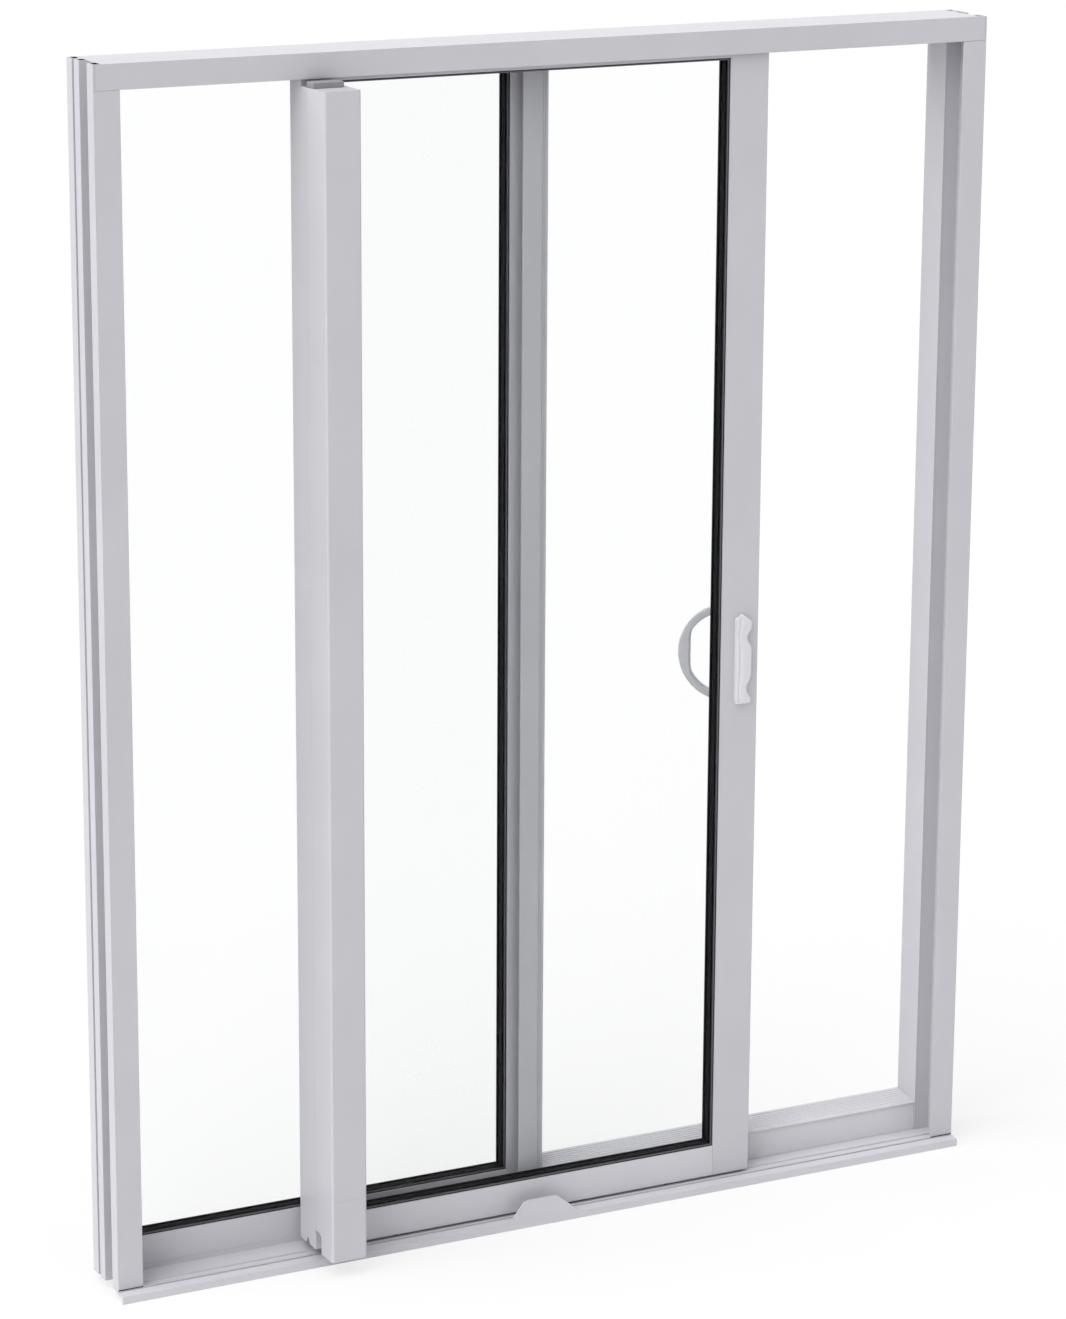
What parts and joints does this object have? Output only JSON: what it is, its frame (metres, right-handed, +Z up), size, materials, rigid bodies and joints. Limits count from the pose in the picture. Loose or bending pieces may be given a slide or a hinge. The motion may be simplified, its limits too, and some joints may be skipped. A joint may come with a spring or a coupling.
{
  "type": "glass sliding patio door",
  "caption": "Sliding patio door with a pale grey metal frame, a fixed glazed panel and a glazed panel that rolls past it on a sill track, with a bow pull and a deep interlock post.",
  "frame": {"origin": "underside of the sill plate, at the middle of the frame's width and depth", "axes": "+X to the right seen from the weather side, +Y indoors, +Z up"},
  "size_m": [1.626, 0.192, 2.045],
  "materials": {
    "frame_paint": "satin",
    "glass": "clear",
    "gasket": "matte",
    "spacer": "matte",
    "roller_steel": "zinc plated",
    "roller_wheel": "matte",
    "handle_paint": "satin"
  },
  "bodies": {
    "frame": {"head": "frame_paint", "left_jamb": "frame_paint", "right_jamb": "frame_paint", "sill": "frame_paint", "interlock_catch": "frame_paint", "threshold_cover": "frame_paint", "jamb_filler": "frame_paint", "fixed_left_stile": "frame_paint", "fixed_meeting_stile": "frame_paint", "fixed_top_rail": "frame_paint", "fixed_bottom_rail": "frame_paint", "fixed_outer_pane": "glass", "fixed_inner_pane": "glass", "fixed_outer_gasket": "gasket", "fixed_inner_gasket": "gasket", "fixed_spacer": "spacer"},
    "sliding_panel": {"interlock_stile": "frame_paint", "interlock_tube": "frame_paint", "interlock_foot": "frame_paint", "lock_stile": "frame_paint", "sliding_top_rail": "frame_paint", "sliding_bottom_rail": "frame_paint", "sliding_outer_pane": "glass", "sliding_inner_pane": "glass", "sliding_outer_gasket": "gasket", "sliding_inner_gasket": "gasket", "sliding_spacer": "spacer", "left_roller_carriage": "roller_steel", "right_roller_carriage": "roller_steel", "left_roller_wheel": "roller_wheel", "right_roller_wheel": "roller_wheel", "pull_plate": "handle_paint", "bow_pull": "handle_paint"}
  },
  "joints": [
    {"name": "panel_slide", "type": "slide", "parent": "frame", "child": "sliding_panel", "axis": [1, 0, 0], "range_m": [-0.25, 0.388]}
  ]
}
